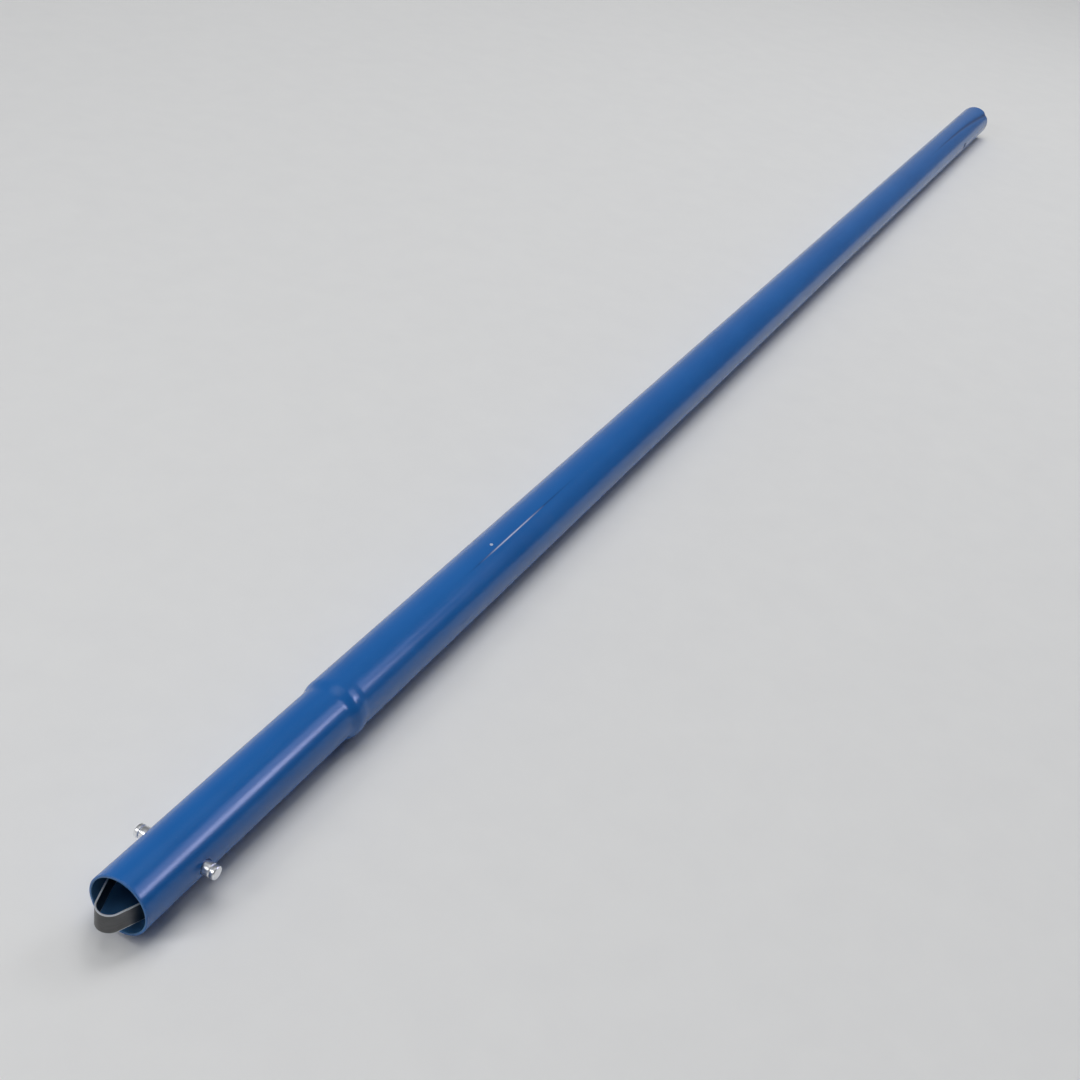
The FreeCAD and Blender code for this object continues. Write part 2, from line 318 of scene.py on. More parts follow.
def tube_stations(inside):
    """Places along X of the rows on one side of the wall, without the rounded rims."""
    rounding = INNER_RIM_ROUNDING if inside else RIM_ROUNDING
    coarse = INSIDE_COARSER if inside else 1.0
    nose = BUTTON_X - PATCH_HALF
    socket = SOCKET_HOLE_X - PATCH_HALF
    cells = 2 * PATCH_HALF / PATCH_CELLS
    far = RIM_X - FAR_ROWS_LENGTH
    places = spread(MOUTH_X + rounding + MOUTH_MARGIN, nose, SPIGOT_STEP * coarse)
    places += spread(nose, nose + 2 * PATCH_HALF, cells)
    places += spread(nose + 2 * PATCH_HALF, SHOULDER_ROWS_FROM, SPIGOT_STEP * coarse)
    places += spread(SHOULDER_ROWS_FROM, SHOULDER_ROWS_TO, SHOULDER_STEP * coarse)
    places += spread(SHOULDER_ROWS_TO, far, TUBE_STEP * coarse)
    places += spread(far, socket, CREASE_STEP * coarse)
    places += spread(socket, socket + 2 * PATCH_HALF, cells)
    places += spread(socket + 2 * PATCH_HALF, RIM_X - rounding, RIM_STEP * coarse)
    return places


def tube_rows(inside):
    """Rows of one side of the wall as pairs: x, and how far the rim's rounding cuts into the wall."""
    rounding = INNER_RIM_ROUNDING if inside else RIM_ROUNDING
    arc = [math.radians(15.0 * k) for k in range(7)]
    rows = [(MOUTH_X + rounding * (1 - math.cos(a)), rounding * (1 - math.sin(a))) for a in arc]
    rows += [(x, 0.0) for x in tube_stations(inside)]
    far = [(RIM_X - rounding * (1 - math.cos(a)), rounding * (1 - math.sin(a))) for a in arc]
    return rows + far[::-1]


def around(x, radius, angle):
    """The point at x, a radius from the tube's axis, at an angle round it."""
    turn = math.radians(angle)
    return Vector((x, -radius * math.cos(turn), radius * math.sin(turn)))


class TubeMesh:
    """Collects the vertices and quads of the tube."""

    def __init__(self):
        self.points = []
        self.quads = []
        self.inside = []
        self.angles = tube_angles()
        self.layers = {}

    def add_point(self, point, inside):
        """Add a vertex and return its number."""
        self.points.append(point)
        self.inside.append(1.0 if inside else 0.0)
        return len(self.points) - 1

    def add_layer(self, inside):
        """Add the grid of vertices of one side of the wall."""
        rows = tube_rows(inside)
        sign = 1 if inside else -1
        surface = inner_radius if inside else outer_radius
        numbers = []
        for x, cut in rows:
            ring = []
            for angle in self.angles:
                radius = surface(x, angle) + sign * cut
                ring.append(self.add_point(around(x, radius, angle), inside))
            numbers.append(ring)
        self.layers[inside] = (rows, numbers)

    def patch(self, inside, hole_x, side_angle):
        """First row and first column of the patch of cells round a button hole."""
        rows = self.layers[inside][0]
        first_x = hole_x - PATCH_HALF
        row = min(range(len(rows)), key=lambda k: abs(rows[k][0] - first_x) + rows[k][1])
        first_angle = side_angle - PATCH_ANGLE
        column = min(range(len(self.angles)), key=lambda k: abs(self.angles[k] - first_angle))
        return row, column

    def patch_border(self, inside, hole_x, side_angle):
        """Vertex numbers round the patch, anticlockwise in x and z, from its low corner."""
        row, column = self.patch(inside, hole_x, side_angle)
        numbers = self.layers[inside][1]

        def at(step_x, step_z):
            across = step_z if side_angle == RIGHT else PATCH_CELLS - step_z
            return numbers[row + step_x][column + across]

        cells = range(PATCH_CELLS)
        border = [at(k, 0) for k in cells]
        border += [at(PATCH_CELLS, k) for k in cells]
        border += [at(PATCH_CELLS - k, PATCH_CELLS) for k in cells]
        border += [at(0, PATCH_CELLS - k) for k in cells]
        return border

    def join_layers(self, holes):
        """Quads of both layers and both rims, leaving out the patches round the holes."""
        count = len(self.angles)
        for inside in (False, True):
            rows, numbers = self.layers[inside]
            left_out = set()
            for hole_x, side_angle in holes:
                row, column = self.patch(inside, hole_x, side_angle)
                for step_x in range(PATCH_CELLS):
                    for step_z in range(PATCH_CELLS):
                        left_out.add((row + step_x, column + step_z))
            for row in range(len(rows) - 1):
                quads = strip_of_quads(numbers[row], numbers[row + 1], True)
                self.quads += [quads[k] for k in range(count) if (row, k) not in left_out]
        outer, inner = self.layers[False][1], self.layers[True][1]
        self.quads += strip_of_quads(outer[0], inner[0], True)
        self.quads += strip_of_quads(outer[-1], inner[-1], True)

    def wall_point(self, inside, across, z, side, depth):
        """A point a depth into the wall, behind the surface at that x and z."""
        surface = inner_radius if inside else outer_radius
        nominal = body_radius(across) - (WALL if inside else 0.0)
        angle = math.degrees(math.asin(z / nominal))
        if side > 0:
            angle = 180.0 - angle
        radius = surface(across, angle)
        level = math.sqrt(radius**2 - z**2)
        level += depth if inside else -depth
        return Vector((across, side * level, z))

    def bore_hole(self, hole_x, side_angle):
        """The wall of one button hole, with a rounded edge outside and inside."""
        side = -1 if side_angle == RIGHT else 1
        count = 4 * PATCH_CELLS
        turns = [math.radians(225.0 + 360.0 * k / count) for k in range(count)]
        arc = [math.radians(22.5 * k) for k in range(5)]

        def ring(inside, reach, depth):
            numbers = []
            for turn in turns:
                x = hole_x + reach * math.cos(turn)
                z = reach * math.sin(turn)
                point = self.wall_point(inside, x, z, side, depth)
                numbers.append(self.add_point(point, inside))
            return numbers

        def halfway(inside, border, reach):
            numbers = []
            for turn, number in zip(turns, border):
                corner = self.points[number]
                x = (hole_x + reach * math.cos(turn) + corner.x) / 2
                z = (reach * math.sin(turn) + corner.z) / 2
                point = self.wall_point(inside, x, z, side, 0.0)
                numbers.append(self.add_point(point, inside))
            return numbers

        rings = []
        for inside in (False, True):
            border = self.patch_border(inside, hole_x, side_angle)
            widest = HOLE_RADIUS + HOLE_ROUNDING
            layer = [border, halfway(inside, border, widest)]
            for turn in arc:
                reach = widest - HOLE_ROUNDING * math.sin(turn)
                depth = HOLE_ROUNDING * (1 - math.cos(turn))
                layer.append(ring(inside, reach, depth))
            rings.append(layer)
        ordered = rings[0] + rings[1][::-1]
        for first, second in zip(ordered, ordered[1:]):
            self.quads += strip_of_quads(first, second, True)


# Where and how widely the paint is rubbed, how far the painted shade reaches round a socket hole,
# and where the rubbed stretch with its painted highlight lies.
MOUTH_WEAR, RIM_WEAR = 0.5 * MM, 0.6 * MM
HOLE_WEAR, SOCKET_HOLE_SHADE = 0.5 * MM, 0.3 * MM
CREST_X, CREST_WEAR, CREST_SHARE = 6.4 * MM, 1.2 * MM, 0.35
CREST_RADII = (16.2 * MM, 16.7 * MM)
INSIDE_WEAR_SHARE = 0.8
RUB_GLINT_WIDTH, RUB_GLINT_OFFSET = 0.34 * MM, 0.1 * MM
RUB_GLINT_FADE_IN, RUB_GLINT_FADE_OUT = 25.0 * MM, 35.0 * MM


def tube_wear(point, inside):
    """How rubbed the paint is at a point: at the rims, round the buttons and on the bead's crest."""
    radius = math.hypot(point.y, point.z)
    ends = max(bell(point.x - MOUTH_X, MOUTH_WEAR), bell(point.x - RIM_X, RIM_WEAR))
    off_axis = math.hypot(point.x - BUTTON_X, point.z)
    holes = 1 - smooth(HOLE_RADIUS, HOLE_RADIUS + HOLE_WEAR, off_axis)
    crest = CREST_SHARE * bell(point.x - CREST_X, CREST_WEAR) * smooth(*CREST_RADII, radius)
    if inside:
        return INSIDE_WEAR_SHARE * max(ends, holes)
    return max(ends, holes, crest)


def seam_marks(point):
    """Painted shade of the seam and of a socket hole's edge at a point, and the painted highlight
    of the rubbed stretch.
    """
    radius = math.hypot(point.y, point.z)
    angle = math.degrees(math.atan2(point.z, -point.y))
    away = math.radians(angle - seam_angle(point.x)) * radius
    # The seam's line, widening along the crease, is painted shade.
    width = (LINE_WIDTH_MM + LINE_WIDENS_MM * crease_strength(point.x)) * MM
    line = seam_strength(point.x) * bell(away, width)
    off_axis = math.hypot(point.x - SOCKET_HOLE_X, point.z)
    # A socket hole's edge is darkened with painted shade.
    line = max(line, 1 - smooth(HOLE_RADIUS, HOLE_RADIUS + SOCKET_HOLE_SHADE, off_axis))
    # The rubbed stretch along the seam: rubbed paint with a painted highlight.
    along = smooth(RUB_GLINT_START_X, RUB_GLINT_START_X + RUB_GLINT_FADE_IN, point.x)
    along *= 1 - smooth(RUB_GLINT_END_X - RUB_GLINT_FADE_OUT, RUB_GLINT_END_X, point.x)
    return line, along * bell(away + RUB_GLINT_OFFSET, RUB_GLINT_WIDTH)


def add_values(mesh, name, values):
    """One number for each vertex, which the materials read by its name."""
    attribute = mesh.attributes.new(name, "FLOAT", "POINT")
    attribute.data.foreach_set("value", values)


# Inside, the lining is darkened with painted shade past the spring strip's arms.
DEEP_SHADE_START_X = -95.0 * MM
DEEP_SHADE_END_X = -30.0 * MM


def make_tube(material):
    """The painted tube: both sides of its wall, both rims and the four button holes."""
    build = TubeMesh()
    holes = [(x, side) for x in (BUTTON_X, SOCKET_HOLE_X) for side in (RIGHT, LEFT)]
    build.add_layer(False)
    build.add_layer(True)
    build.join_layers(holes)
    for hole_x, side_angle in holes:
        build.bore_hole(hole_x, side_angle)
    mesh = bpy.data.meshes.new("painted_tube")
    mesh.from_pydata(build.points, [], build.quads)
    add_values(mesh, "inside", build.inside)
    # How much painted shade darkens the lining, deeper inside.
    add_values(mesh, "deep_shade", [smooth(DEEP_SHADE_START_X, DEEP_SHADE_END_X, point.x) for point in build.points])
    wear = [tube_wear(p, i > 0.5) for p, i in zip(build.points, build.inside)]
    add_values(mesh, "wear", wear)
    marks = [(0.0, 0.0) if i > 0.5 else seam_marks(p) for p, i in zip(build.points, build.inside)]
    # The first mark is painted shade along the seam and a hole's edge; the second is rubbed paint
    # with a painted highlight.
    add_values(mesh, "seam", [mark[0] for mark in marks])
    add_values(mesh, "rub_and_glint", [mark[1] for mark in marks])
    tube = add_object("painted_tube", mesh, material)
    finish_mesh(tube)
    return tube


# The blob's place and its half section: distance from its middle, height over the paint.
NIB_X = 154.5 * MM
NIB_ANGLE = 88.3
NIB_SECTION_MM = [
    (0.0, 0.42), (0.25, 0.4), (0.48, 0.32), (0.66, 0.2),
    (0.8, 0.06), (0.9, -0.02), (0.8, -0.2), (0.0, -0.2),
]
NIB_TURNS = 24
NIB_STRETCH = 1.3
NIB_SHARP = 80.0


def make_nib(material):
    """The small blob of paint that stands on the tube past the shoulder."""
    points, rings = [], []
    base = outer_radius(NIB_X, NIB_ANGLE)
    up = around(0.0, 1.0, NIB_ANGLE)
    along = Vector((1, 0, 0))
    across = up.cross(along)
    for reach_mm, height_mm in NIB_SECTION_MM:
        count = 1 if reach_mm == 0.0 else NIB_TURNS
        ring = []
        for k in range(count):
            turn = 2 * math.pi * k / count
            spot = along * (NIB_STRETCH * math.cos(turn)) + across * math.sin(turn)
            place = spot * (reach_mm * MM) + up * (base + height_mm * MM) + along * NIB_X
            points.append(place)
            ring.append(len(points) - 1)
        rings.append(ring)
    mesh = bpy.data.meshes.new("paint_nib")
    mesh.from_pydata(points, [], join_rings(rings))
    nib = add_object("paint_nib", mesh, material)
    finish_mesh(nib, NIB_SHARP)
    return nib


# ---------------------------------------------------------------- spring strip

STRIP_THICKNESS = 0.7 * MM
STRIP_HALF_WIDTH = (STRIP_HIGH.z - STRIP_LOW.z) / 2
STRIP_HEIGHT = STRIP_HIGH.y - STRIP_THICKNESS / 2
BEND_RADIUS = 5.6 * MM
ARM_SLOPE = math.radians(20.0)
KNEE_RADIUS = 25.0 * MM
END_ROUNDING = 3.0 * MM
NECK_HOLE_RADIUS = 1.66 * MM
STRIP_PATCH_HALF = 2.5 * MM
STRIP_CELLS = 20
STRIP_PATCH_CELLS = 10
STRIP_STEP = 0.5 * MM
END_MARGIN = 0.6 * MM
END_ROWS = 8
EDGE_BEVEL = 0.14 * MM
EDGE_SEGMENTS = 3
EDGE_ANGLE = 60.0
STRIP_SHARP = 40.0

# The sheared edges carry a painted highlight: from how far in, and over what distance it sets in.
EDGE_HIGHLIGHT_WIDTH = 0.16 * MM
EDGE_HIGHLIGHT_FADE = (0.02 * MM, 0.12 * MM)


def strip_lengths():
    """Lengths along the half strip: bend, slope, knee and flat, and the bend's centre in x."""
    centre_x = STRIP_LOW.x + STRIP_THICKNESS / 2 + BEND_RADIUS
    bend = BEND_RADIUS * (math.pi / 2 - ARM_SLOPE)
    start_y = BEND_RADIUS * math.cos(ARM_SLOPE)
    knee_rise = KNEE_RADIUS * (1 - math.cos(ARM_SLOPE))
    slope = (STRIP_HEIGHT - knee_rise - start_y) / math.sin(ARM_SLOPE)
    knee = KNEE_RADIUS * ARM_SLOPE
    start_x = centre_x - BEND_RADIUS * math.sin(ARM_SLOPE)
    flat_x = start_x + slope * math.cos(ARM_SLOPE) + KNEE_RADIUS * math.sin(ARM_SLOPE)
    return bend, slope, knee, STRIP_HIGH.x - flat_x, centre_x, flat_x


BEND, SLOPE, KNEE, FLAT, BEND_CENTRE_X, FLAT_X = strip_lengths()


def strip_point(along, level):
    """Point and outward direction in X and Y of the half strip, a length along it from its middle."""
    if along < BEND:
        turn = along / BEND_RADIUS
        outward = Vector((-math.cos(turn), math.sin(turn), 0))
        return Vector((BEND_CENTRE_X, 0, 0)) + outward * (BEND_RADIUS + level)
    outward = Vector((-math.sin(ARM_SLOPE), math.cos(ARM_SLOPE), 0))
    forward = Vector((math.cos(ARM_SLOPE), math.sin(ARM_SLOPE), 0))
    start = Vector((BEND_CENTRE_X, 0, 0)) + outward * BEND_RADIUS
    if along < BEND + SLOPE:
        return start + forward * (along - BEND) + outward * level
    if along < BEND + SLOPE + KNEE:
        turn = ARM_SLOPE - (along - BEND - SLOPE) / KNEE_RADIUS
        outward = Vector((-math.sin(turn), math.cos(turn), 0))
        centre = Vector((FLAT_X, STRIP_HEIGHT - KNEE_RADIUS, 0))
        return centre + outward * (KNEE_RADIUS + level)
    return Vector((FLAT_X + along - BEND - SLOPE - KNEE, STRIP_HEIGHT + level, 0))


def flat_plate():
    """The half strip laid flat: points along and across it, and its quads, with the neck's hole."""
    total = BEND + SLOPE + KNEE + FLAT
    hole = total - (STRIP_HIGH.x - BUTTON_X)
    low, high = hole - STRIP_PATCH_HALF, hole + STRIP_PATCH_HALF
    cell = 2 * STRIP_PATCH_HALF / STRIP_PATCH_CELLS
    stations = spread(0.0, low, STRIP_STEP) + spread(low, high, cell)
    round_from = total - END_ROUNDING - END_MARGIN
    stations += spread(high, round_from, STRIP_STEP)
    ending = [k / END_ROWS for k in range(END_ROWS + 1)]
    widths = [STRIP_HALF_WIDTH * (2 * k / STRIP_CELLS - 1) for k in range(STRIP_CELLS + 1)]
    points, rows, quads = [], [], []

    def add(along, across):
        points.append(Vector((along, across, 0)))
        return len(points) - 1

    for along in stations:
        rows.append([add(along, across) for across in widths])
    for share in ending:
        row = []
        for across in widths:
            over = max(0.0, abs(across) - (STRIP_HALF_WIDTH - END_ROUNDING))
            end = total - END_ROUNDING + math.sqrt(max(0.0, END_ROUNDING**2 - over**2))
            row.append(add(round_from + (end - round_from) * share, across))
        rows.append(row)
    first = min(range(len(stations)), key=lambda k: abs(stations[k] - low))
    column = (STRIP_CELLS - STRIP_PATCH_CELLS) // 2
    patch_rows = range(first, first + STRIP_PATCH_CELLS)
    patch_columns = range(column, column + STRIP_PATCH_CELLS)
    for row in range(len(rows) - 1):
        for k, quad in enumerate(strip_of_quads(rows[row], rows[row + 1], False)):
            if not (row in patch_rows and k in patch_columns):
                quads.append(quad)
    cells = range(STRIP_PATCH_CELLS)
    last = first + STRIP_PATCH_CELLS
    end = column + STRIP_PATCH_CELLS
    border = [rows[first + k][column] for k in cells]
    border += [rows[last][column + k] for k in cells]
    border += [rows[last - k][end] for k in cells]
    border += [rows[first][end - k] for k in cells]
    count = 4 * STRIP_PATCH_CELLS
    ring = []
    middle = []
    for k, number in enumerate(border):
        turn = math.radians(225.0 + 360.0 * k / count)
        x = hole + NECK_HOLE_RADIUS * math.cos(turn)
        y = NECK_HOLE_RADIUS * math.sin(turn)
        ring.append(add(x, y))
        middle.append(add((x + points[number].x) / 2, (y + points[number].y) / 2))
    quads += strip_of_quads(border, middle, True)
    quads += strip_of_quads(middle, ring, True)
    return points, quads


def make_arm(name, side, material):
    """Half of the spring strip, from the middle of its bend to the end of the arm on one side."""
    points, quads = flat_plate()
    mesh = bpy.data.meshes.new(name)
    mesh.from_pydata(points, [], quads)
    work = opened_clean(mesh)
    work.to_mesh(mesh)
    work.free()
    arm = add_object(name, mesh, material)
    thick = arm.modifiers.new("thickness", "SOLIDIFY")
    thick.thickness = STRIP_THICKNESS
    thick.offset = 0.0
    edges = arm.modifiers.new("edges", "BEVEL")
    edges.width = EDGE_BEVEL
    edges.segments = EDGE_SEGMENTS
    edges.limit_method = "ANGLE"
    edges.angle_limit = math.radians(EDGE_ANGLE)
    depsgraph = bpy.context.evaluated_depsgraph_get()
    solid = bpy.data.meshes.new_from_object(arm.evaluated_get(depsgraph))
    arm.modifiers.clear()
    arm.data = solid
    # Where the painted highlight lies along the strip's sheared edges.
    overs = [abs(vertex.co.y) - STRIP_HALF_WIDTH + EDGE_HIGHLIGHT_WIDTH for vertex in solid.vertices]
    add_values(solid, "edge_highlight", [smooth(*EDGE_HIGHLIGHT_FADE, over) for over in overs])
    for vertex in solid.vertices:
        along, across, level = vertex.co
        place = strip_point(max(along, 0.0), level)
        vertex.co = Vector((place.x, side * place.y, across))
    finish_mesh(arm, STRIP_SHARP)
    return arm


# ---------------------------------------------------------------- snap buttons

# Half section of a button: distance from its own axis, distance from the tube's axis.
BUTTON_SECTION_MM = [
    (0.0, 10.48), (0.9, 10.5), (1.6, 10.56), (2.1, 10.68), (2.45, 10.88), (2.64, 11.1),
    (2.7, 11.3), (2.66, 11.44), (2.55, 11.48), (1.6, 11.48), (1.6, 12.22), (3.0, 12.22),
    (3.12, 12.26), (3.2, 12.4), (3.2, 14.0), (3.2, 16.0), (3.2, 17.46), (3.17, 17.56),
    (3.08, 17.64), (2.94, 17.7), (2.87, 17.8), (2.85, 17.92), (2.85, 18.08), (2.87, 18.2),
    (2.94, 18.3), (3.08, 18.36), (3.17, 18.44), (3.2, 18.54), (3.2, 19.8), (3.16, 20.0),
    (3.06, 20.18), (2.92, 20.3), (2.74, 20.38), (2.56, 20.4), (2.38, 20.38), (2.2, 20.31),
    (2.0, 20.25), (1.5, 20.2), (0.8, 20.18), (0.0, 20.175),
]
BUTTON_TURNS = 72


def make_button(name, side, material):
    """A turned snap button: peened head, neck, grooved pin, rounded edge and dished end."""
    points, rings = [], []
    for reach_mm, height_mm in BUTTON_SECTION_MM:
        if reach_mm == 0.0:
            points.append(Vector((BUTTON_X, side * height_mm * MM, 0.0)))
            rings.append([len(points) - 1])
            continue
        ring = []
        for k in range(BUTTON_TURNS):
            turn = 2 * math.pi * k / BUTTON_TURNS
            x = BUTTON_X + reach_mm * MM * math.cos(turn)
            z = reach_mm * MM * math.sin(turn)
            points.append(Vector((x, side * height_mm * MM, z)))
            ring.append(len(points) - 1)
        rings.append(ring)
    mesh = bpy.data.meshes.new(name)
    mesh.from_pydata(points, [], join_rings(rings))
    button = add_object(name, mesh, material)
    finish_mesh(button)
    return button


# ---------------------------------------------------------------- materials


class Nodes:
    """A short way to write a material's node tree."""

    def __init__(self, name):
        self.material = bpy.data.materials.new(name)
        self.material.use_nodes = True
        self.tree = self.material.node_tree
        self.tree.nodes.clear()
        self.shader = self.add("ShaderNodeBsdfPrincipled")
        output = self.add("ShaderNodeOutputMaterial")
        self.link(self.shader.outputs["BSDF"], output.inputs["Surface"])
        self.place = self.add("ShaderNodeTexCoord").outputs["Object"]

    def add(self, kind, **settings):
        """A new node of a kind, with its settings."""
        node = self.tree.nodes.new(kind)
        for key, value in settings.items():
            setattr(node, key, value)
        return node

    def link(self, output, socket):
        """Link an output to a socket."""
        self.tree.links.new(output, socket)

    def feed(self, socket, value):
        """Link an output to a socket, or set a plain value on it."""
        if isinstance(value, bpy.types.NodeSocket):
            self.link(value, socket)
        else:
            socket.default_value = value

    def stretched(self, scale):
        """The object's coordinates, scaled differently along each axis."""
        mapping = self.add("ShaderNodeMapping")
        mapping.inputs["Scale"].default_value = scale
        self.link(self.place, mapping.inputs["Vector"])
        return mapping.outputs["Vector"]

    def noise(self, scale, detail=2.0, roughness=0.5, vector=None):
        """Noise from 0 to 1, with its scale in features per metre."""
        node = self.add("ShaderNodeTexNoise")
        node.inputs["Scale"].default_value = scale
        node.inputs["Detail"].default_value = detail
        node.inputs["Roughness"].default_value = roughness
        self.link(vector if vector is not None else self.place, node.inputs["Vector"])
        return node.outputs["Fac"]

    def values(self, name):
        """The number that add_values gave each vertex."""
        return self.add("ShaderNodeAttribute", attribute_name=name).outputs["Fac"]

    def ranged(self, value, low, high, to_low, to_high):
        """A value from low to high, mapped to the range from to_low to to_high."""
        node = self.add("ShaderNodeMapRange")
        limits = {"From Min": low, "From Max": high, "To Min": to_low, "To Max": to_high}
        for socket, number in limits.items():
            node.inputs[socket].default_value = number
        self.link(value, node.inputs["Value"])
        return node.outputs["Result"]

    def math(self, operation, first, second):
        """Two values combined, held between 0 and 1."""
        node = self.add("ShaderNodeMath", operation=operation)
        node.use_clamp = True
        self.feed(node.inputs[0], first)
        self.feed(node.inputs[1], second)
        return node.outputs["Value"]

    def mix(self, share, first, second):
        """A colour between two colours: the first at share 0, the second at 1."""
        node = self.add("ShaderNodeMix", data_type="RGBA")
        self.feed(node.inputs["Factor"], share)
        colours = [socket for socket in node.inputs if socket.type == "RGBA"]
        self.feed(colours[0], first)
        self.feed(colours[1], second)
        return [socket for socket in node.outputs if socket.type == "RGBA"][0]

    def bump(self, height, strength, distance, normal=None):
        """A normal tilted by a height, on top of another normal if there is one."""
        node = self.add("ShaderNodeBump")
        node.inputs["Strength"].default_value = strength
        node.inputs["Distance"].default_value = distance
        self.link(height, node.inputs["Height"])
        if normal is not None:
            self.link(normal, node.inputs["Normal"])
        return node.outputs["Normal"]

    def set(self, socket, value):
        """Give the shader's socket a value or a link."""
        self.feed(self.shader.inputs[socket], value)


def rgb(red, green, blue):
    """An opaque colour."""
    return (red, green, blue, 1.0)


def blue_enamel():
    """Semi-gloss blue enamel: slight cloudiness, orange peel, dust specks and rubbed edges, painted
    shade along the seam and deep inside, and a painted highlight on the rubbed stretch.
    """
    nodes = Nodes("blue_enamel")
    darker, lighter = rgb(0.009, 0.118, 0.405), rgb(0.012, 0.132, 0.44)
    run_colour = rgb(0.016, 0.142, 0.45)
    clouds = nodes.noise(14.0, 3.0, 0.55)
    flow = nodes.noise(1.0, 3.0, 0.5, nodes.stretched((30.0, 160.0, 160.0)))
    colour = nodes.mix(nodes.ranged(clouds, 0.35, 0.65, 0.0, 1.0), darker, lighter)
    colour = nodes.mix(nodes.ranged(flow, 0.45, 0.75, 0.0, 0.35), colour, run_colour)
    specks = nodes.ranged(nodes.noise(900.0, 2.0, 0.6), 0.70, 0.76, 0.0, 0.3)
    colour = nodes.mix(specks, colour, rgb(0.06, 0.22, 0.52))
    # Painted shade along the seam, the crease and a socket hole's edge.
    seam = nodes.math("MULTIPLY", nodes.values("seam"), 0.8)
    colour = nodes.mix(seam, colour, rgb(0.006, 0.045, 0.17))
    scuffs = nodes.ranged(nodes.noise(420.0, 4.0, 0.7), 0.35, 0.65, 0.25, 1.0)
    worn = nodes.math("MULTIPLY", nodes.values("wear"), scuffs)
    colour = nodes.mix(nodes.math("MULTIPLY", worn, 0.28), colour, rgb(0.16, 0.24, 0.36))
    # Rubbed stretch on the seam, pale: rubbed paint with a painted highlight.
    colour = nodes.mix(nodes.values("rub_and_glint"), colour, rgb(0.62, 0.68, 0.9))
    thin, thicker = rgb(0.05, 0.16, 0.34), rgb(0.06, 0.18, 0.38)
    lining = nodes.mix(nodes.ranged(clouds, 0.35, 0.65, 0.0, 1.0), thin, thicker)
    # Painted shade deeper inside the tube.
    lining = nodes.mix(nodes.values("deep_shade"), lining, rgb(0.012, 0.035, 0.085))
    colour = nodes.mix(nodes.values("inside"), colour, lining)
    nodes.set("Base Color", colour)
    patches = nodes.ranged(nodes.noise(60.0, 3.0, 0.6), 0.3, 0.7, 0.19, 0.25)
    nodes.set("Roughness", nodes.math("ADD", patches, nodes.math("MULTIPLY", worn, 0.18)))
    nodes.set("Specular IOR Level", 0.42)
    peel = nodes.bump(nodes.noise(330.0, 2.0, 0.5), 0.10, 0.05 * MM)
    grit = nodes.bump(nodes.noise(2200.0, 2.0, 0.6), 0.05, 0.02 * MM, peel)
    nodes.set("Normal", grit)
    return nodes.material


def paint_blob():
    """The enamel of the blob, pale blue-white all over as a painted highlight."""
    nodes = Nodes("enamel_blob")
    mottle = nodes.noise(900.0, 3.0, 0.6)
    # Pale all over: a painted highlight on the blob.
    nodes.set("Base Color", nodes.mix(mottle, rgb(0.42, 0.52, 0.72), rgb(0.62, 0.70, 0.85)))
    nodes.set("Roughness", nodes.ranged(mottle, 0.3, 0.7, 0.25, 0.4))
    return nodes.material


def spring_steel():
    """Satin rolled spring steel with faint lines along the strip, slight tarnish and a painted
    highlight along its sheared edges.
    """
    nodes = Nodes("satin_spring_steel")
    lines = nodes.noise(1.0, 4.0, 0.6, nodes.stretched((120.0, 120.0, 4200.0)))
    tarnish = nodes.noise(180.0, 4.0, 0.6)
    clean, tarnished = rgb(0.11, 0.112, 0.113), rgb(0.085, 0.085, 0.085)
    colour = nodes.mix(nodes.ranged(tarnish, 0.35, 0.7, 0.0, 1.0), clean, tarnished)
    colour = nodes.mix(nodes.ranged(lines, 0.35, 0.7, 0.0, 0.5), colour, rgb(0.17, 0.17, 0.175))
    # Painted highlight along the sheared edges.
    colour = nodes.mix(nodes.values("edge_highlight"), colour, rgb(0.85, 0.88, 0.90))
    nodes.set("Base Color", colour)
    nodes.set("Metallic", 1.0)
    rolled = nodes.ranged(lines, 0.3, 0.7, 0.34, 0.46)
    rough_edge = nodes.math("MULTIPLY", nodes.values("edge_highlight"), 0.2)
    nodes.set("Roughness", nodes.math("ADD", rolled, rough_edge))
    nodes.set("Normal", nodes.bump(lines, 0.25, 0.02 * MM))
    return nodes.material


def plated_steel():
    """Bright plated steel with fine turning marks and slight clouding."""
    nodes = Nodes("bright_plating")
    clouds = nodes.noise(420.0, 3.0, 0.6)
    bright, clouded = rgb(0.93, 0.935, 0.95), rgb(0.84, 0.85, 0.87)
    colour = nodes.mix(nodes.ranged(clouds, 0.35, 0.7, 0.0, 1.0), bright, clouded)
    nodes.set("Base Color", colour)
    nodes.set("Metallic", 1.0)
    nodes.set("Roughness", nodes.ranged(clouds, 0.3, 0.7, 0.27, 0.36))
    turning = nodes.noise(1.0, 2.0, 0.5, nodes.stretched((300.0, 6500.0, 300.0)))
    nodes.set("Normal", nodes.bump(turning, 0.06, 0.01 * MM))
    return nodes.material


def floor_paper():
    """Matt pale grey studio floor."""
    nodes = Nodes("pale_floor")
    grain = nodes.noise(40.0, 4.0, 0.6)
    nodes.set("Base Color", nodes.mix(grain, rgb(0.77, 0.77, 0.77), rgb(0.81, 0.81, 0.805)))
    nodes.set("Roughness", 0.9)
    nodes.set("Specular IOR Level", 0.2)
    return nodes.material


# ---------------------------------------------------------------- stage and light


FLOOR_HALF = 60.0


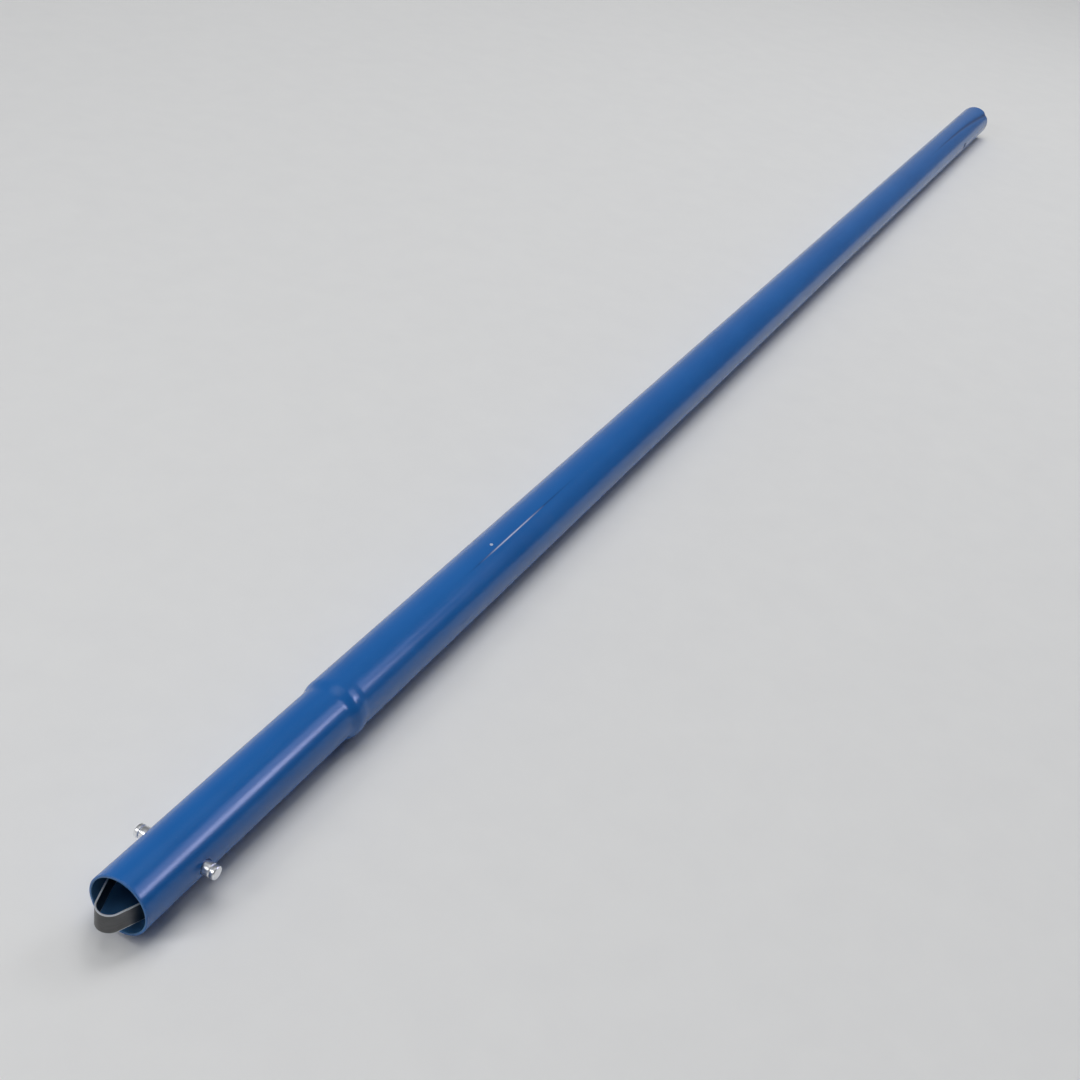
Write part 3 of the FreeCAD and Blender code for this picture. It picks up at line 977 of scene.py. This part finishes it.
def make_floor(level):
    """A large flat floor under the pole."""
    work = bmesh.new()
    half = FLOOR_HALF
    corners = [(-half, -half), (half, -half), (half, half), (-half, half)]
    work.faces.new([work.verts.new((x, y, level)) for x, y in corners])
    mesh = bpy.data.meshes.new("floor")
    work.to_mesh(mesh)
    work.free()
    floor = add_object("floor", mesh, floor_paper())
    floor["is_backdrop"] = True


def make_softbox(name, place, target, width, height, watts, colour):
    """A rectangular soft light that the camera doesn't see."""
    data = bpy.data.lights.new(name, "AREA")
    data.shape = "RECTANGLE"
    data.size = width
    data.size_y = height
    data.energy = watts
    data.color = colour
    light = bpy.data.objects.new(name, data)
    light.location = place
    light.rotation_mode = "QUATERNION"
    light.rotation_quaternion = (Vector(target) - Vector(place)).to_track_quat("-Z", "Y")
    light.visible_camera = False
    bpy.context.scene.collection.objects.link(light)
    return light


# Brightness of the room: by the sine of the elevation, and how much of it is left towards -Y.
ROOM_LEVELS = [(0.0, 0.40), (0.25, 0.32), (0.55, 0.17), (0.88, 0.22), (0.96, 0.8), (1.0, 1.15)]
DARK_SIDE = 0.16
DARK_TO_LIT_Y = (-0.75, 0.25)
ROOM_TINT = (0.95, 0.97, 1.0)


def make_world():
    """Dim room: brighter overhead and at the horizon, darker on the -Y side."""
    world = bpy.data.worlds.new("room")
    world.use_nodes = True
    tree = world.node_tree
    tree.nodes.clear()
    place = tree.nodes.new("ShaderNodeTexCoord")
    split = tree.nodes.new("ShaderNodeSeparateXYZ")
    levels = tree.nodes.new("ShaderNodeValToRGB")
    ramp = levels.color_ramp.elements
    for number, (sine, level) in enumerate(ROOM_LEVELS):
        stop = ramp[number] if number in (0, 1) else ramp.new(sine)
        stop.position = sine
        stop.color = (*(share * level for share in ROOM_TINT), 1.0)
    side = tree.nodes.new("ShaderNodeMapRange")
    side.interpolation_type = "SMOOTHSTEP"
    side.inputs["From Min"].default_value = DARK_TO_LIT_Y[0]
    side.inputs["From Max"].default_value = DARK_TO_LIT_Y[1]
    side.inputs["To Min"].default_value = DARK_SIDE
    side.inputs["To Max"].default_value = 1.0
    back = tree.nodes.new("ShaderNodeBackground")
    output = tree.nodes.new("ShaderNodeOutputWorld")
    tree.links.new(place.outputs["Generated"], split.inputs["Vector"])
    tree.links.new(split.outputs["Z"], levels.inputs["Fac"])
    tree.links.new(split.outputs["Y"], side.inputs["Value"])
    tree.links.new(levels.outputs["Color"], back.inputs["Color"])
    tree.links.new(side.outputs["Result"], back.inputs["Strength"])
    tree.links.new(back.outputs["Background"], output.inputs["Surface"])
    bpy.context.scene.world = world


WHITE, VIOLET = (1.0, 1.0, 1.0), (0.70, 0.70, 1.0)
OVER_MIDDLE, TOWARDS_FAR_END = (0.70, 0.0, 0.0), (0.9, 0.0, 0.0)
AT_MOUTH, PAST_MOUTH = (-0.04, 0.0, 0.0), (-0.10, 0.0, 0.0)

# Each light: name, place, what it points at, width, height, watts and colour.
SHADING_LIGHTS = [
    ("overhead", (0.70, 0.32, 2.95), OVER_MIDDLE, 2.6, 1.8, 43.0, WHITE),
    ("far", (2.0, -0.6, 1.6), TOWARDS_FAR_END, 0.9, 0.9, 7.5, WHITE),
]
REFLECTED_LIGHTS = [
    ("side_low", (1.023, -1.274, 0.960), AT_MOUTH, 0.65, 0.34, 8.6, VIOLET),
    ("side_high", (1.056, -0.920, 1.287), AT_MOUTH, 0.80, 0.60, 4.3, VIOLET),
]
BACK_LIGHT = ("behind", (-1.30, 0.70, 1.00), PAST_MOUTH, 0.5, 0.5, 7.0, WHITE)


def make_lights():
    """Two lights that only shade, two that only show as reflections, and one behind the mouth."""
    for settings in SHADING_LIGHTS:
        make_softbox(*settings).visible_glossy = False
    for settings in REFLECTED_LIGHTS:
        make_softbox(*settings).visible_diffuse = False
    make_softbox(*BACK_LIGHT)


# ---------------------------------------------------------------- build

make_camera()

enamel = blue_enamel()
satin = spring_steel()
plating = plated_steel()

tube = make_tube(enamel)
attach(tube, "pole")
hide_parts("pole_tube")

nib = make_nib(paint_blob())
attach(nib, "pole")

# Each half of the spring strip, and the snap button on its side.
for hand, side in (("right", -1), ("left", 1)):
    arm = make_arm(f"clip_arm_{hand}", side, satin)
    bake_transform(arm)
    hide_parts("spring_strip")
    pin = make_button(f"snap_pin_{hand}", side, plating)
    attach(pin, f"{hand}_button")
    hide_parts(f"snap_button_{hand}")

make_floor(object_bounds()[0].z)
make_world()
make_lights()
bpy.context.scene.view_settings.view_transform = "Standard"
